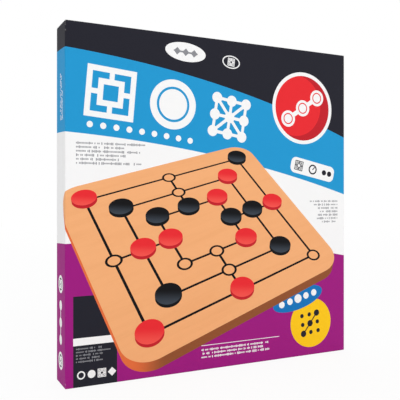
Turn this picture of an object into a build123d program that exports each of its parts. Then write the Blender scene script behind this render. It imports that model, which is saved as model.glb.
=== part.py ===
"""Boxed nine men's morris set: a lift-off lid box with a moulded tray, a reversible board and 18 stones.

The box stands upright on one of its narrow sides, as on a shop shelf. X runs across the printed front,
Z runs up it, and Y runs from front to back, so the lid comes off along -Y. The origin is the middle of
the footprint, on the surface that the box stands on. All sizes are in millimetres.

A level is a distance in front of the box's middle plane, so level 5 lies at y = -5. The box is made to
measure round its contents, so its outside sizes follow from theirs.
"""

from build123d import *

import os
from math import radians, tan

# Playing board: a wooden panel with rounded corners, printed on both sides
board_size = 224.0
board_thickness = 8.0
board_corner = 20.0
board_edge = 0.6

# Stones: flat-bottomed discs with a low dome and a ring groove, packed on edge in two rolls
stone_count = 9
stone_diameter = 22.0
stone_thickness = 7.0
stone_rim_height = 4.8
stone_edge = 0.8
stone_gap = 0.3
groove_diameter = 13.0
groove_radius = 0.6

# Rules: a folded sheet, packed under the board
leaflet_side_margin = 39.0
leaflet_end_margin = 8.0
leaflet_thickness = 0.7
leaflet_gap = 0.1

# Moulded tray
tray_sheet = 0.8
tray_bend = 0.6
tray_draft = 2.0
tray_corner = 3.0
board_play = 1.0
board_drop = 0.7
stone_play = 0.3
stone_headroom = 0.6
finger_room = 20.0
trough_spacing = 24.0
side_land = 10.7
top_land = 3.5
middle_land = 4.0
bottom_land = 3.5
thumb_radius = 16.0
thumb_reach = 7.0
thumb_blend = 4.0
well_ledge = 1.5
well_depth = 5.0
foot_diameter = 22.0
foot_spacing = 120.0
foot_draft = 12.0

# Box: grey board shells, taped at their corners and covered with printed paper
greyboard = 1.5
greyboard_fold = 0.5
paper = 0.3
turn_in = 15.0
corner_tape = 0.15
tape_width = 15.0
tape_inset = 1.0

# Fits
tray_fit = 0.4
tray_seat = 0.1
tray_drop = 0.4
lid_fit = 0.5
lid_seat = 0.2
rim_reveal = 1.0

# Tray sizes that follow
slope = tan(radians(tray_draft))
stone_pitch = stone_thickness + stone_gap
dome_height = stone_thickness - stone_rim_height
groove_height = stone_thickness - dome_height * (groove_diameter / stone_diameter) ** 2
trough_radius = stone_diameter / 2 + stone_play
trough_length = stone_gap + stone_count * stone_pitch + finger_room
tray_depth = tray_sheet + stone_play + stone_diameter + stone_headroom
trough_mouth = 2 * (trough_radius + (tray_depth - tray_sheet - trough_radius) * slope)
pocket_size = board_size + 2 * board_play
pocket_depth = board_drop + board_thickness + 2 * leaflet_gap + leaflet_thickness
pocket_mouth = pocket_size + 2 * pocket_depth * slope
tray_top_width = pocket_mouth + 2 * side_land
tray_top_height = top_land + pocket_mouth + middle_land + trough_mouth + bottom_land
tray_width = tray_top_width + 2 * tray_depth * slope
tray_height = tray_top_height + 2 * tray_depth * slope

narrowest_land = min(top_land, middle_land, bottom_land, side_land - thumb_reach)
rim_radius = min(tray_bend + tray_sheet, 0.4 * narrowest_land)

# Box sizes that follow
wall = greyboard + 2 * paper
base_width = tray_width + 2 * (tray_fit + wall)
base_height = tray_height + 2 * (tray_fit + wall)
box_width = base_width + 2 * (lid_fit + wall)
box_height = base_height + 2 * (lid_fit + wall)
box_depth = 2 * (paper + greyboard) + tray_seat + tray_depth + tray_drop + lid_seat

# Levels, from the back of the box to its front
base_back = -box_depth / 2
lid_rim = base_back + rim_reveal
tray_foot = base_back + paper + greyboard + tray_seat
stone_level = tray_foot + tray_sheet + trough_radius
tray_top = tray_foot + tray_depth
pocket_floor = tray_top - pocket_depth
leaflet_back = pocket_floor + leaflet_gap
board_back = leaflet_back + leaflet_thickness + leaflet_gap
base_rim = tray_top + tray_drop
lid_front = base_rim + lid_seat + greyboard + paper

# Heights above the surface that the box stands on
middle_height = box_height / 2
tray_top_edge = middle_height + tray_top_height / 2
board_height = tray_top_edge - top_land - pocket_mouth / 2
stone_height = middle_height - tray_top_height / 2 + bottom_land + trough_mouth / 2


def upright(level, height=middle_height):
    """Plane that faces the front at a level, with its origin at a height on the box's centre line."""
    return Plane(origin=(0, -level, height), x_dir=(1, 0, 0), z_dir=(0, -1, 0))


def save(piece, name):
    """Label a finished piece and write it as the node of that name."""
    piece.part.label = name
    export_step(piece.part, f"parts/{name}.step")


def corner_tapes(width, height, panel, rim):
    """Four paper strips, each bent round a corner of the shell that they hold together."""
    side = 1 if rim > panel else -1
    start = panel + side * tape_inset
    with BuildPart() as tapes:
        with BuildSketch(upright(start)):
            RectangleRounded(width, height, greyboard_fold)
            RectangleRounded(
                width - 2 * corner_tape,
                height - 2 * corner_tape,
                greyboard_fold - corner_tape,
                mode=Mode.SUBTRACT,
            )
            Rectangle(width - 2 * tape_width, height, mode=Mode.SUBTRACT)
            Rectangle(width, height - 2 * tape_width, mode=Mode.SUBTRACT)
        extrude(amount=rim - start)
    return tapes


def folded_shell(tapes, width, height, panel, rim):
    """Grey board panel with four walls folded from it, and its corners pressed in under their tapes."""
    side = 1 if rim > panel else -1
    ceiling = panel + side * greyboard
    with BuildPart() as shell:
        with BuildSketch(upright(panel)):
            Rectangle(width, height)
        extrude(amount=rim - panel)
        outside = shell.faces().sort_by(Axis.Y, reverse=side > 0)[0]
        fillet(shell.edges().filter_by(Axis.Y) + outside.edges(), radius=greyboard_fold)
        with BuildSketch(upright(ceiling)):
            Rectangle(width - 2 * greyboard, height - 2 * greyboard)
        extrude(amount=rim - ceiling, mode=Mode.SUBTRACT)
        add(tapes.part, mode=Mode.SUBTRACT)
    return shell


def paper_wrap(shell, tapes, width, height, panel, rim):
    """Printed sheet glued over the shell and its tapes, folded over the rim and turned in."""
    side = 1 if rim > panel else -1
    ceiling = panel + side * greyboard
    inner_width = width - 2 * greyboard
    inner_height = height - 2 * greyboard
    with BuildPart() as wrap:
        with BuildSketch(upright(panel - side * paper)):
            Rectangle(width + 2 * paper, height + 2 * paper)
        extrude(amount=rim - panel + side * 2 * paper)
        outside = wrap.faces().sort_by(Axis.Y, reverse=side > 0)[0]
        fillet(wrap.edges().filter_by(Axis.Y) + outside.edges(), radius=greyboard_fold + paper)
        with BuildSketch(upright(ceiling)):
            Rectangle(inner_width, inner_height)
        extrude(amount=rim - ceiling - side * turn_in, mode=Mode.SUBTRACT)
        with BuildSketch(upright(rim - side * turn_in)):
            Rectangle(inner_width - 2 * paper, inner_height - 2 * paper)
        extrude(amount=side * (turn_in + paper), mode=Mode.SUBTRACT)
        add(shell.part, mode=Mode.SUBTRACT)
        add(tapes.part, mode=Mode.SUBTRACT)
    return wrap


def half_box(name, width, height, panel, rim):
    """Lid or base of a given outside size, as its three pieces, between the levels of its panel and rim."""
    side = 1 if rim > panel else -1
    board_sizes = (width - 2 * paper, height - 2 * paper, panel + side * paper, rim - side * paper)
    tapes = corner_tapes(*board_sizes)
    shell = folded_shell(tapes, *board_sizes)
    save(tapes, f"{name}_corner_tapes")
    save(shell, f"{name}_shell")
    save(paper_wrap(shell, tapes, *board_sizes), f"{name}_wrap")


def notch_circles(radius):
    """The pair of circles, in an open sketch on the pocket's centre, that the thumb notches are cut to."""
    centre = pocket_size / 2 + thumb_reach - thumb_radius
    with Locations((-centre, 0), (centre, 0)):
        Circle(radius)


def pocket_outline(behind):
    """Sketch of the board's pocket and its thumb notches, at the pocket's floor."""
    side = pocket_size + 2 * behind
    with BuildSketch(upright(pocket_floor - behind, board_height)) as outline:
        RectangleRounded(side, side, board_corner + board_play + behind)
        notch_circles(thumb_radius + behind)
        cusps = outline.vertices().filter_by(lambda v: abs(v.Y) < thumb_radius + behind)
        fillet(cusps, radius=thumb_blend - behind)
    return outline.sketch


def trough_section(outer_end, behind):
    """Sketch across a trough at its outer end: a half-round floor, and drafted sides up to the tray's top."""
    half_mouth = trough_mouth / 2 + behind
    radius = trough_radius + behind
    with BuildSketch(Plane.YZ.offset(outer_end)) as section:
        with BuildLine():
            upper = Line((-tray_top, stone_height + half_mouth), (-stone_level, stone_height + radius))
            lower = Line((-stone_level, stone_height - radius), (-tray_top, stone_height - half_mouth))
            ThreePointArc(upper @ 1, (-stone_level + radius, stone_height), lower @ 0)
            Line(lower @ 1, upper @ 0)
        make_face()
    return section.sketch


def formed_block(behind):
    """Block whose front is a face of the tray's sheet: its front face, or its back face, behind mm behind it.

    The sheet is the block of its front face less the block of its back face. Each bend is round, with
    the tray's bend radius on its inner side.
    """
    inset = 2 * behind * (1 - slope)
    hollow_bend = tray_bend + behind
    rim_bend = rim_radius * (1 - behind / (tray_bend + tray_sheet))
    with BuildPart() as block:
        with BuildSketch(upright(tray_foot - behind)):
            RectangleRounded(tray_width - inset, tray_height - inset, tray_corner - behind)
        extrude(amount=tray_depth, taper=tray_draft)

        # Pocket and thumb notches
        extrude(
            pocket_outline(behind), amount=pocket_depth + behind, taper=-tray_draft, mode=Mode.SUBTRACT
        )
        floor = block.faces().filter_by(Axis.Y).group_by(Axis.Y)[1]
        fillet(floor.edges(), radius=hollow_bend)

        # Troughs, whose end faces stand upright across X
        for end in (-1, 1):
            section = trough_section(end * (trough_spacing / 2 + trough_length + behind), behind)
            extrude(section, amount=-end * (trough_length + 2 * behind), mode=Mode.SUBTRACT)
        ends = block.faces().filter_by(Axis.X).group_by(Axis.Z)[0]
        fillet(ends.edges().filter_by(Axis.Z, reverse=True), radius=hollow_bend)

        # Rims
        fillet(block.faces().filter_by(Axis.Y).sort_by(Axis.Y)[0].edges(), radius=rim_bend)

        # Wells under the notches, and the feet that carry the pocket's floor
        with BuildSketch(upright(pocket_floor, board_height)):
            notch_circles(thumb_radius - well_ledge + behind)
        extrude(amount=-(well_depth + behind), taper=tray_draft, mode=Mode.SUBTRACT)
        with BuildSketch(upright(pocket_floor, board_height)):
            with GridLocations(foot_spacing, foot_spacing, 2, 2):
                Circle(foot_diameter / 2 + behind)
        extrude(
            amount=-(pocket_floor - tray_foot - tray_sheet + behind), taper=foot_draft, mode=Mode.SUBTRACT
        )
    return block


def stored_stone(end, place):
    """Stone on edge in its trough, counted from the trough's outer end, with its flat side outwards."""
    trough_end = trough_spacing / 2 + trough_length
    flat_side = (end * (trough_end - stone_gap - place * stone_pitch), -stone_level, stone_height)
    across = Plane(origin=flat_side, x_dir=(0, 0, 1), z_dir=(0, -end, 0))
    with BuildPart() as stone:
        with BuildSketch(across) as section:
            with BuildLine():
                bottom = Line((0, 0), (stone_diameter / 2, 0))
                rim = Line(bottom @ 1, (stone_diameter / 2, stone_rim_height))
                dome = TangentArc((0, stone_thickness), rim @ 1, tangent=(1, 0))
                Line(dome @ 0, bottom @ 0)
            make_face()
            fillet(section.vertices().sort_by(Axis.X)[-2:], radius=stone_edge)
            with Locations((groove_diameter / 2, groove_height)):
                Circle(groove_radius, mode=Mode.SUBTRACT)
        revolve(axis=Axis(flat_side, (-end, 0, 0)))
    return stone


os.makedirs("parts", exist_ok=True)

half_box("lid", box_width, box_height, lid_front, lid_rim)
half_box("base", base_width, base_height, base_back, base_rim)

# Tray: one formed sheet, with a skirt that stands on the floor of the base
front_block = formed_block(0)
back_block = formed_block(tray_sheet)
with BuildPart() as tray:
    add(front_block.part)
    add(back_block.part, mode=Mode.SUBTRACT)
save(tray, "tray")

# Rules leaflet, on the pocket's floor
with BuildPart() as rules_leaflet:
    with BuildSketch(upright(leaflet_back, board_height)):
        Rectangle(pocket_size - 2 * leaflet_side_margin, pocket_size - 2 * leaflet_end_margin)
    extrude(amount=leaflet_thickness)
save(rules_leaflet, "rules_leaflet")

# Playing board, on the leaflet
with BuildPart() as game_board:
    with BuildSketch(upright(board_back, board_height)):
        RectangleRounded(board_size, board_size, board_corner)
    extrude(amount=board_thickness)
    fillet(game_board.faces().filter_by(Axis.Y).edges(), radius=board_edge)
save(game_board, "game_board")

# Stones, red in the left trough and black in the right one
for colour, end in (("red", -1), ("black", 1)):
    for place in range(stone_count):
        save(stored_stone(end, place), f"{colour}_stone_{place + 1}")
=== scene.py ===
"""Looks of a boxed nine and three men's morris game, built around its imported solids."""
import logging
import math
from dataclasses import dataclass, field
from enum import Enum
from typing import Callable, Dict, List, Sequence, Tuple, Union

import bpy
import numpy as np
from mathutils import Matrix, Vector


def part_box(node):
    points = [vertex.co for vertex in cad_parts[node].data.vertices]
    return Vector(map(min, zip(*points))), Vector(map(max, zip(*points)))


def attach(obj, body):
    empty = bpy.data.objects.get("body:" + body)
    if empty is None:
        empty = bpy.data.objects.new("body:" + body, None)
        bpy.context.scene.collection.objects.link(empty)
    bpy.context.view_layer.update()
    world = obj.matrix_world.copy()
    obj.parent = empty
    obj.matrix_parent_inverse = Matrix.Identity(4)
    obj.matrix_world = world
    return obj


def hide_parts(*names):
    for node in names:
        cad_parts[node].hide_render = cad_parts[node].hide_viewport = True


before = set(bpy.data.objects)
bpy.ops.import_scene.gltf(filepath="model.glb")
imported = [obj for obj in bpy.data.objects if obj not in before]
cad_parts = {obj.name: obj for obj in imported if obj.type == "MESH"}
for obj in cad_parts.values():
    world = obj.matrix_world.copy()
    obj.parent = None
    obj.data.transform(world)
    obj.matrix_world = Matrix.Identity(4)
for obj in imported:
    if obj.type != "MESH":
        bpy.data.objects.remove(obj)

LOG = logging.getLogger("morris_box")
MM = 0.001
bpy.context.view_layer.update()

Pair = Tuple[float, float]
Triple = Tuple[float, float, float]
Rgba = Tuple[float, float, float, float]
Value = Union[float, Tuple[float, ...], "Wire"]
Feeds = Dict[Union[int, str], Value]


# ---------------------------------------------------------------- inks and materials

class Ink(Enum):
    """The printing inks and raw stocks, as screen colours."""

    WHITE = "F6F6F6"
    CHARCOAL = "20202A"
    CYAN = "1F97D0"
    PURPLE = "9D187E"
    BLUE = "1174BA"
    YELLOW = "FCC916"
    RED = "E82A31"
    RED_LIT = "F2524B"
    RED_DEEP = "C21F2A"
    BLACK = "0B0B0F"
    SLATE = "3B434D"
    GREY = "8C8D92"
    WOOD = "F4B079"
    WOOD_DARK = "E39A61"
    EDGE_LIT = "E36F3D"
    EDGE_SHADE = "90522F"

    @property
    def rgba(self) -> Rgba:
        """The ink in linear light."""
        return tint(self.value)


def tint(code: str) -> Rgba:
    """Turns a screen colour into linear light.

    Args:
        code: six hexadecimal digits, red first.

    Returns:
        Red, green, blue and an alpha of one.
    """
    parts = [int(code[i:i + 2], 16) / 255 for i in (0, 2, 4)]
    red, green, blue = (p / 12.92 if p <= 0.04045 else ((p + 0.055) / 1.055) ** 2.4 for p in parts)
    return red, green, blue, 1.0


def operator(operation: str, turned: bool = False) -> Callable[["Wire", Value], "Wire"]:
    """A wire's method for one Python operator, from the node's operation and whether the wire comes last."""
    return lambda wire, other: wire.join(operation, other, turned)


class Wire:
    """An output socket on which sums are written like numbers; a vector uses Vector Math.

    Less and greater give masks, times gives both of two masks, and or gives either. Or also gives the
    greater of two numbers, and and gives the smaller.
    """

    def __init__(self, bench: "Bench", socket: bpy.types.NodeSocket) -> None:
        """Holds the bench that makes the nodes, and the socket."""
        self.bench = bench
        self.socket = socket

    @property
    def flat(self) -> bool:
        """Whether it carries one number."""
        return self.socket.type == "VALUE"

    def join(self, operation: str, other: Value, turned: bool = False) -> "Wire":
        """Adds the node of one sum.

        Args:
            operation: the node's operation.
            other: the second term.
            turned: whether the other term comes first.

        Returns:
            The sum.
        """
        terms = (other, self) if turned else (self, other)
        if all(isinstance(t, (int, float)) or (isinstance(t, Wire) and t.flat) for t in terms):
            return self.bench.number(operation, *terms)
        return self.bench.vector(operation, *terms)

    def __abs__(self) -> "Wire":
        """Size without sign."""
        return self.bench.number("ABSOLUTE", self) if self.flat else self.bench.vector("ABSOLUTE", self)

    __add__ = __radd__ = operator("ADD")
    __mul__ = __rmul__ = operator("MULTIPLY")
    __sub__, __rsub__ = operator("SUBTRACT"), operator("SUBTRACT", turned=True)
    __truediv__, __rtruediv__ = operator("DIVIDE"), operator("DIVIDE", turned=True)
    __lt__, __gt__ = operator("LESS_THAN"), operator("GREATER_THAN")
    __and__, __or__ = operator("MINIMUM"), operator("MAXIMUM")


class Bench:
    """A material being made: it adds nodes, and its wires carry the values between them."""

    def __init__(self, owner: Union[str, bpy.types.World]) -> None:
        """Starts with no nodes.

        Args:
            owner: the name of a new material, or a world.
        """
        self.material = bpy.data.materials.new(owner) if isinstance(owner, str) else owner
        self.material.use_nodes = True
        self.tree = self.material.node_tree
        self.tree.nodes.clear()

    def node(self, kind: str, settings: Dict[str, str], feeds: Feeds) -> bpy.types.Node:
        """Adds any node, its settings first and then the values or links of its sockets.

        Args:
            kind: the node's type, less the words that all types start with.
            settings: attributes of the node.
            feeds: socket name or number to a value or a wire.

        Returns:
            The node.
        """
        made = self.tree.nodes.new(f"ShaderNode{kind}")
        for name, setting in settings.items():
            setattr(made, name, setting)
        for key, feed in feeds.items():
            if isinstance(feed, Wire):
                self.tree.links.new(feed.socket, made.inputs[key])
            else:
                made.inputs[key].default_value = feed
        return made

    def wire(self, node: bpy.types.Node, output: Union[int, str] = 0) -> Wire:
        """A node's output as a wire."""
        return Wire(self, node.outputs[output])

    def number(self, operation: str, *terms: Value) -> Wire:
        """A Math node."""
        return self.wire(self.node("Math", {"operation": operation}, dict(enumerate(terms))))

    def vector(self, operation: str, *terms: Value) -> Wire:
        """Adds a Vector Math node, spreading plain numbers over the three parts.

        Args:
            operation: the node's operation.
            terms: its vectors, as wires or triples, and numbers.

        Returns:
            The vector, or the number where the operation gives one.
        """
        spread = [(t, t, t) if isinstance(t, (int, float)) else t for t in terms]
        made = self.node("VectorMath", {"operation": operation}, dict(enumerate(spread)))
        return self.wire(made, "Value" if operation in ("LENGTH", "DISTANCE", "DOT_PRODUCT") else "Vector")

    def parts(self, vector: Wire) -> Tuple[Wire, Wire, Wire]:
        """The three parts of a vector."""
        made = self.node("SeparateXYZ", {}, {0: vector})
        return self.wire(made, 0), self.wire(made, 1), self.wire(made, 2)

    def place(self, x: Value, y: Value, z: Value = 0.0) -> Wire:
        """A vector from its parts."""
        return self.wire(self.node("CombineXYZ", {}, {0: x, 1: y, 2: z}))

    def turn(self, vector: Wire, degrees: float) -> Wire:
        """A vector turned about the third axis."""
        feeds = {"Vector": vector, "Angle": math.radians(degrees)}
        return self.wire(self.node("VectorRotate", {"rotation_type": "Z_AXIS"}, feeds))

    def mix(self, mask: Value, under: Value, over: Value) -> Wire:
        """One colour over another where the mask is."""
        return self.wire(self.node("Mix", {"data_type": "RGBA"}, {0: mask, 6: under, 7: over}), 2)

    def spread(self, value: Wire, low: float, high: float) -> Wire:
        """A smooth step from nothing at one value to one at the other."""
        settings = {"interpolation_type": "SMOOTHSTEP"}
        return self.wire(self.node("MapRange", settings, {0: value, 1: low, 2: high}))

    def noise(self, place: Wire, scale: float, detail: float = 2.0, rough: float = 0.5,
              bend: float = 0.0) -> Wire:
        """Cloudy noise about one half."""
        feeds = {"Vector": place, "Scale": scale, "Detail": detail, "Roughness": rough, "Distortion": bend}
        return self.wire(self.node("TexNoise", {}, feeds), "Fac")

    def chance(self, place: Wire) -> Wire:
        """An even random number for each exact place."""
        made = self.node("TexWhiteNoise", {"noise_dimensions": "3D"}, {"Vector": place})
        return self.wire(made, "Value")

    def own_place(self) -> Wire:
        """The place in the shared frame, in millimetres."""
        return self.wire(self.node("TexCoord", {}, {}), "Object") / MM

    def sheet_place(self, name: str) -> Wire:
        """The place on an unfolded printed sheet, in millimetres."""
        return self.wire(self.node("UVMap", {"uv_map": name}, {})) / MM

    def bump(self, height: Wire, depth: float) -> Wire:
        """A normal from a height whose full range stands for that depth in millimetres."""
        return self.wire(self.node("Bump", {}, {"Strength": 1.0, "Distance": depth * MM, "Height": height}))

    def finish(self, fixed: Dict[str, Value], **varied: Value) -> bpy.types.Material:
        """Puts the shader in.

        Args:
            fixed: socket names and constants.
            varied: the varied sockets, their names written with underscores.

        Returns:
            The finished material.
        """
        feeds = dict(fixed)
        feeds.update({name.replace("_", " "): value for name, value in varied.items()})
        shader = self.node("BsdfPrincipled", {}, feeds)
        self.node("OutputMaterial", {}, {"Surface": self.wire(shader)})
        return self.material


# ---------------------------------------------------------------- drawing on a print

def beside(spot: Pair, right: float, up: float = 0.0) -> Pair:
    """A spot that far to the right of another and above it."""
    return spot[0] + right, spot[1] + up


def row(start: Pair, step: Pair, count: int) -> List[Pair]:
    """Spots in a line, a step apart."""
    return [beside(start, k * step[0], k * step[1]) for k in range(count)]


class Picture:
    """A print that grows by laying one ink after another over what is there."""

    def __init__(self, bench: Bench, place: Wire, ground: Ink) -> None:
        """Starts with a ground colour.

        Args:
            bench: the material.
            place: the place on the sheet in millimetres.
            ground: ink under everything.
        """
        self.bench = bench
        self.place = place
        self.colour: Value = ground.rgba

    def lay(self, mask: Value, ink: Union[Ink, Wire]) -> None:
        """Lays an ink where the mask is."""
        over = ink.rgba if isinstance(ink, Ink) else ink
        self.colour = self.bench.mix(mask, self.colour, over)

    def away(self, centre: Pair) -> Wire:
        """Distance from a point."""
        return self.bench.vector("DISTANCE", self.place, (*centre, 0.0))

    def disc(self, centre: Pair, radius: float) -> Wire:
        """Mask of a round spot."""
        return self.away(centre) < radius

    def dot(self, spots: Sequence[Pair], radius: float, ink: Ink) -> None:
        """Lays round spots of one size."""
        for spot in spots:
            self.lay(self.disc(spot, radius), ink)

    def ring(self, centre: Pair, radius: float, width: float) -> Wire:
        """Mask of a ring about that middle radius."""
        return abs(self.away(centre) - radius) < width / 2

    def local(self, centre: Pair, degrees: float = 0.0) -> Wire:
        """The place measured from a centre, turned by an angle."""
        moved = self.place - (*centre, 0.0)
        return self.bench.turn(moved, -degrees) if degrees else moved

    def round_block(self, place: Wire, half: Pair, corner: float) -> Wire:
        """Mask of a block: what the place from its centre has beyond the block less its corners is short."""
        beyond = self.bench.vector("MAXIMUM", abs(place) - (half[0] - corner, half[1] - corner, 0.0), 0.0)
        return self.bench.vector("LENGTH", beyond * (1.0, 1.0, 0.0)) < corner

    def block(self, centre: Pair, half: Pair, corner: float = 0.4, degrees: float = 0.0) -> Wire:
        """Mask of a block about a centre."""
        return self.round_block(self.local(centre, degrees), half, corner)

    def oval(self, centre: Pair, half: Pair, degrees: float) -> Wire:
        """Mask of an oval: the place over its half axes is shorter than one."""
        local = self.local(centre, degrees) * (1 / half[0], 1 / half[1], 0.0)
        return self.bench.vector("LENGTH", local) < 1.0

    def bar(self, start: Pair, end: Pair, width: float) -> Wire:
        """Masks a straight stroke with round ends.

        Args:
            start: one end.
            end: the other end.
            width: its width.

        Returns:
            The mask.
        """
        run = (end[0] - start[0], end[1] - start[1])
        half = (math.hypot(*run) / 2 + width / 2, width / 2)
        middle = ((start[0] + end[0]) / 2, (start[1] + end[1]) / 2)
        return self.block(middle, half, width / 2, math.degrees(math.atan2(run[1], run[0])))

    def squares(self, centre: Pair, half: float, width: float, degrees: float = 0.0) -> Wire:
        """Mask of three nested squares with their four cross lines, the traditional mill diagram.

        The distance from the nearest square is that of the place's greater folded part from a whole
        number of spacings past the innermost one.

        Args:
            centre: its middle.
            half: half of the outer square.
            width: width of the lines.
            degrees: how far it is turned.

        Returns:
            The mask.
        """
        x, y, _ = self.bench.parts(abs(self.local(centre, degrees)))
        far, near = x | y, x & y
        pitch = half * 0.31
        square = self.bench.number("PINGPONG", far - (half - 2 * pitch), pitch / 2) < width / 2
        inside = (far < half + width / 2) * (far > half - 2 * pitch - width / 2)
        return inside * (square | (near < width / 2))

    def fine_print(self, corner: Pair, size: Pair, line: float, degrees: float = 0.0,
                   flush_right: bool = False) -> Wire:
        """Mask of rows of small marks that read as lines of print without being letters.

        Rows come from the height over the line spacing, marks from the length over their pitch. A random
        number for each mark leaves the gaps between words and sets which marks stand tall, and one for
        each row sets how long it is.

        Args:
            corner: lower left corner of the block.
            size: its width and height.
            line: spacing of the rows.
            degrees: how far it is turned.
            flush_right: whether the rows end at the right and not start at the left.

        Returns:
            The mask.
        """
        bench = self.bench
        x, y, _ = bench.parts(self.local(corner, degrees))
        x = size[0] - x if flush_right else x
        pitch = line * 0.36
        level = bench.number("FLOOR", y / line)
        cell = bench.number("FLOOR", x / pitch)
        letter = bench.chance(bench.place(cell, level, corner[0]))
        height = abs(bench.number("FRACT", y / line) - 0.45)
        stem = abs(bench.number("FRACT", x / pitch) - 0.5) < 0.36
        tall = height < 0.19 + 0.13 * (letter > 0.72)
        reach = size[0] * (0.55 + 0.45 * bench.chance(bench.place(level, corner[1], 3.0)))
        whole = (pitch * (cell + 1.0) < reach) * (line * (level + 1.0) < size[1] + 0.1)
        return (x > 0.0) * (y > 0.0) * whole * (letter > 0.2) * stem * tall


@dataclass(frozen=True)
class Diagram:
    """A printed game diagram about the board's middle: its lines, and a ring at each of its points."""

    line: float = 2.4
    ring: float = 6.4
    ring_line: float = 2.2
    nowhere: float = 99.0

    def square(self, far: Wire) -> Tuple[Value, Wire]:
        """Half width of the square nearest to a place, and a mask of where no point is near."""
        raise NotImplementedError

    def strokes(self, far: Wire, near: Wire) -> Wire:
        """Mask of the lines, from the greater and the smaller of the folded place's parts."""
        raise NotImplementedError

    def nearest(self, bench: Bench, place: Wire) -> Tuple[Wire, Wire]:
        """Finds the nearest point: the place, with each part rounded to whole half widths of its square.

        Args:
            bench: the material.
            place: the place from the board's middle.

        Returns:
            The point, and the distance from it.
        """
        x, y, _ = bench.parts(abs(place))
        half, off = self.square(x | y)
        side = bench.place(half, half, 1.0)
        flat = place * (1.0, 1.0, 0.0)
        point = bench.vector("SNAP", flat + side * (0.5, 0.5, 0.0), side)
        return point, bench.vector("DISTANCE", flat, point) + self.nowhere * off

    def lay(self, picture: Picture, place: Wire, ink: Ink, bare: Wire) -> None:
        """Lays the lines and rings on a picture.

        Args:
            picture: the picture.
            place: the place from the board's middle, in board millimetres.
            ink: colour of the lines.
            bare: colour inside the rings.
        """
        x, y, _ = picture.bench.parts(abs(place))
        _, away = self.nearest(picture.bench, place)
        picture.lay(self.strokes(x | y, x & y), ink)
        picture.lay(away < self.ring, bare)
        picture.lay(abs(away - self.ring) < self.ring_line / 2, ink)


@dataclass(frozen=True)
class MorrisLines(Diagram):
    """Nine men's morris: three squares, four cross lines, and 24 points."""

    inner: float = 34.0
    pitch: float = 27.0

    def square(self, far: Wire) -> Tuple[Wire, Wire]:
        """Rounds to the nearest of the three squares; in the middle and far outside there is none.

        Args:
            far: the greater of the folded place's parts.

        Returns:
            The square's half width, and a mask of where no point is near.
        """
        step = far.bench.number("ROUND", (far - self.inner) / self.pitch)
        off = (far < self.inner / 2) | (far > self.inner + 2.5 * self.pitch)
        return self.inner + self.pitch * ((step | 0.0) & 2.0), off

    def strokes(self, far: Wire, near: Wire) -> Wire:
        """Masks the squares and the cross lines between them.

        Args:
            far: the greater of the folded place's parts.
            near: the smaller.

        Returns:
            The mask.
        """
        half, _ = self.square(far)
        within = (far < self.inner + 2 * self.pitch + self.line / 2) * (far > self.inner - self.line / 2)
        return within * ((abs(far - half) < self.line / 2) | (near < self.line / 2))


@dataclass(frozen=True)
class ThreeLines(Diagram):
    """Three men's morris: a square, its cross and diagonals, and nine points."""

    half: float = 72.0

    def square(self, far: Wire) -> Tuple[float, Wire]:
        """The one square."""
        return self.half, far > 1.4 * self.half

    def strokes(self, far: Wire, near: Wire) -> Wire:
        """Masks the square, the cross and the diagonals.

        Args:
            far: the greater of the folded place's parts.
            near: the smaller.

        Returns:
            The mask.
        """
        thin = self.line / 2
        lines = (abs(far - self.half) < thin) | (near < thin) | (far - near < self.line * math.sqrt(0.5))
        return (far < self.half + thin) * lines


def wood_grain(bench: Bench, place: Wire, depth: float) -> Wire:
    """Beech colour: long thin flecks over broad soft bands, both from noise stretched along the grain.

    Args:
        bench: the material.
        place: the place in millimetres, the grain running along its first part.
        depth: how strong the grain is.

    Returns:
        The colour.
    """
    bands = bench.spread(bench.noise(place * (0.006, 0.07, 0.07), 1.0, 3.0, 0.6, 0.8), 0.4, 0.72)
    flecks = bench.spread(bench.noise(place * (0.09, 1.3, 1.3), 1.0, 2.0, 0.6), 0.56, 0.74)
    return bench.mix(depth * (0.5 * bands + 0.5 * flecks), Ink.WOOD.rgba, Ink.WOOD_DARK.rgba)


def drawn_board(picture: Picture, place: Wire) -> Wire:
    """Mask of a drawn board, from the place measured from its middle."""
    return picture.round_block(place, (112.0, 112.0), 24.0)


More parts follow.
